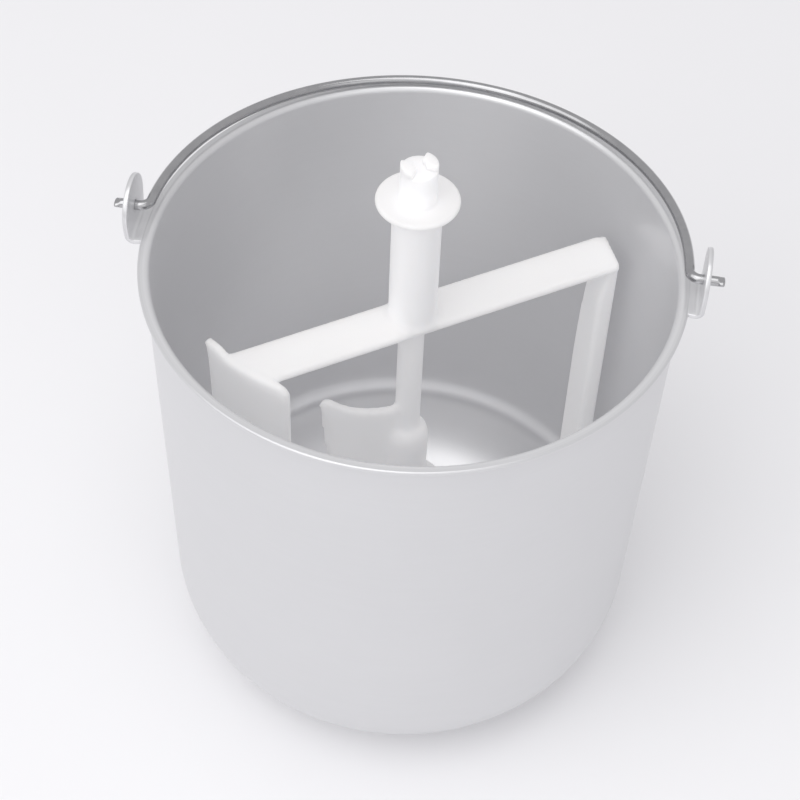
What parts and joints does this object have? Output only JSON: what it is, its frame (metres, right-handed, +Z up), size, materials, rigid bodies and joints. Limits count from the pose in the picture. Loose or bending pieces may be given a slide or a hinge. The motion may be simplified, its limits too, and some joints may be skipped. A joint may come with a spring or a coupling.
{
  "type": "ice cream maker bowl with paddle",
  "caption": "Deep round metal bowl with rounded base, rolled flange and upright ears, a hinged wire bail, and a turning plastic mixing paddle with wall arm and blade.",
  "frame": {"origin": "centre of the base, on the surface the bowl stands on", "axes": "+Z up along the bowl's and paddle's axis, X along the bail's hinge axis through the two ears, +Y towards the side that the bail lies on at rest"},
  "size_m": [0.182, 0.1642, 0.2055],
  "materials": {
    "bowl_metal": "satin anodised",
    "wire_metal": "polished stainless",
    "paddle_plastic": "milky, lightly textured"
  },
  "bodies": {
    "bowl": {"bowl": "bowl_metal"},
    "bail": {"bail_handle": "wire_metal"},
    "paddle": {"paddle": "paddle_plastic"}
  },
  "joints": [
    {"name": "bail_swing", "type": "hinge", "parent": "bowl", "child": "bail", "pos_m": [0, 0, 0.1748], "axis": [1, 0, 0], "range_deg": [0, 187.1]},
    {"name": "paddle_spin", "type": "hinge", "parent": "bowl", "child": "paddle", "pos_m": [0, 0, 0.0025], "axis": [0, 0, 1], "continuous": true}
  ]
}
